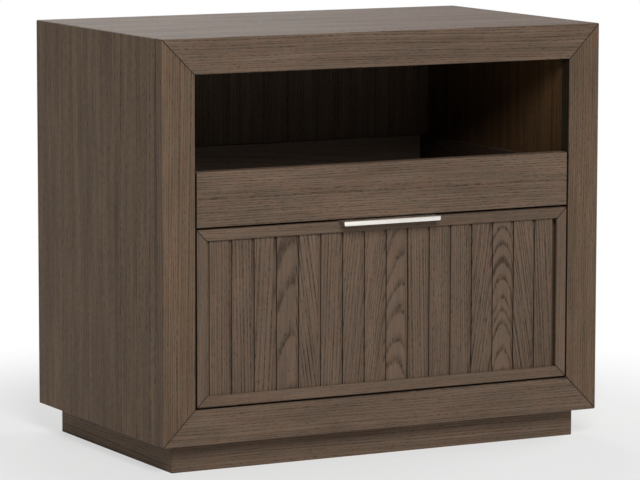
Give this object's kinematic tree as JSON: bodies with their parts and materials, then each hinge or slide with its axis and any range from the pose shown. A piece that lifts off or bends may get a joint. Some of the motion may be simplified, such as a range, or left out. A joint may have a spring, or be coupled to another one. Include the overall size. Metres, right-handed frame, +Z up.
{
  "type": "nightstand",
  "caption": "Low cube nightstand with an open compartment over a shallow open-topped drawer and a deep slatted drawer with a tab pull, on a recessed plinth.",
  "frame": {"origin": "on the floor, below the middle of the outline with its pull", "axes": "+X to the right along the front, +Y from the front to the back, +Z up"},
  "size_m": [0.711, 0.445, 0.614],
  "materials": {
    "brushed_oak": "wire-brushed grey-brown stained oak, matt",
    "lining_oak": "wire-brushed grey-brown stained oak, matt",
    "drawer_box_wood": "smooth dark stained hardwood, satin",
    "softwood": "plain planed",
    "satin_nickel": "satin nickel",
    "runner_steel": "bright zinc plate",
    "screw_steel": "zinc plate",
    "black_plastic": "moulded"
  },
  "bodies": {
    "root": {"top_panel": "brushed_oak", "base_panel": "brushed_oak", "left_side_panel": "brushed_oak", "right_side_panel": "brushed_oak", "face_frame_top_rail": "brushed_oak", "face_frame_bottom_rail": "brushed_oak", "face_frame_left_stile": "brushed_oak", "face_frame_right_stile": "brushed_oak", "ceiling_panel": "lining_oak", "floor_panel": "lining_oak", "left_liner_panel": "lining_oak", "right_liner_panel": "lining_oak", "core_battens": "softwood", "back_panel": "lining_oak", "back_panel_screws": "screw_steel", "divider_rail": "softwood", "plinth_front": "brushed_oak", "plinth_rear": "brushed_oak", "plinth_left": "brushed_oak", "plinth_right": "brushed_oak", "plinth_corner_blocks": "softwood", "levelling_glides": "black_plastic", "upper_left_runner_outer": "runner_steel", "upper_right_runner_outer": "runner_steel", "lower_left_runner_outer": "runner_steel", "lower_right_runner_outer": "runner_steel", "runner_screws": "screw_steel"},
    "upper_runner_middles": {"upper_left_runner_middle": "runner_steel", "upper_right_runner_middle": "runner_steel", "upper_runner_ball_cages": "black_plastic"},
    "upper_drawer": {"upper_drawer_front": "brushed_oak", "upper_drawer_box_front": "drawer_box_wood", "upper_drawer_left_side": "drawer_box_wood", "upper_drawer_right_side": "drawer_box_wood", "upper_drawer_back": "drawer_box_wood", "upper_drawer_bottom": "drawer_box_wood", "upper_drawer_screws": "screw_steel", "upper_left_runner_inner": "runner_steel", "upper_right_runner_inner": "runner_steel"},
    "lower_runner_middles": {"lower_left_runner_middle": "runner_steel", "lower_right_runner_middle": "runner_steel", "lower_runner_ball_cages": "black_plastic"},
    "lower_drawer": {"lower_front_top_rail": "brushed_oak", "lower_front_bottom_rail": "brushed_oak", "lower_front_left_stile": "brushed_oak", "lower_front_right_stile": "brushed_oak", "lower_front_slats": "brushed_oak", "lower_front_backing": "drawer_box_wood", "tab_pull": "satin_nickel", "pull_screws": "screw_steel", "lower_drawer_box_front": "drawer_box_wood", "lower_drawer_left_side": "drawer_box_wood", "lower_drawer_right_side": "drawer_box_wood", "lower_drawer_back": "drawer_box_wood", "lower_drawer_bottom": "drawer_box_wood", "lower_drawer_screws": "screw_steel", "lower_left_runner_inner": "runner_steel", "lower_right_runner_inner": "runner_steel"}
  },
  "joints": [
    {"name": "upper_drawer_slide", "type": "slide", "parent": "root", "child": "upper_drawer", "axis": [0, -1, 0], "range_m": [0, 0.35]},
    {"name": "upper_runner_slide", "type": "slide", "parent": "root", "child": "upper_runner_middles", "axis": [0, -1, 0], "range_m": [0, 0.175]},
    {"name": "lower_drawer_slide", "type": "slide", "parent": "root", "child": "lower_drawer", "axis": [0, -1, 0], "range_m": [0, 0.35]},
    {"name": "lower_runner_slide", "type": "slide", "parent": "root", "child": "lower_runner_middles", "axis": [0, -1, 0], "range_m": [0, 0.175]}
  ],
  "couplings": [
    {"joint": "upper_runner_slide", "follows": "upper_drawer_slide", "ratio": 0.5},
    {"joint": "lower_runner_slide", "follows": "lower_drawer_slide", "ratio": 0.5}
  ]
}
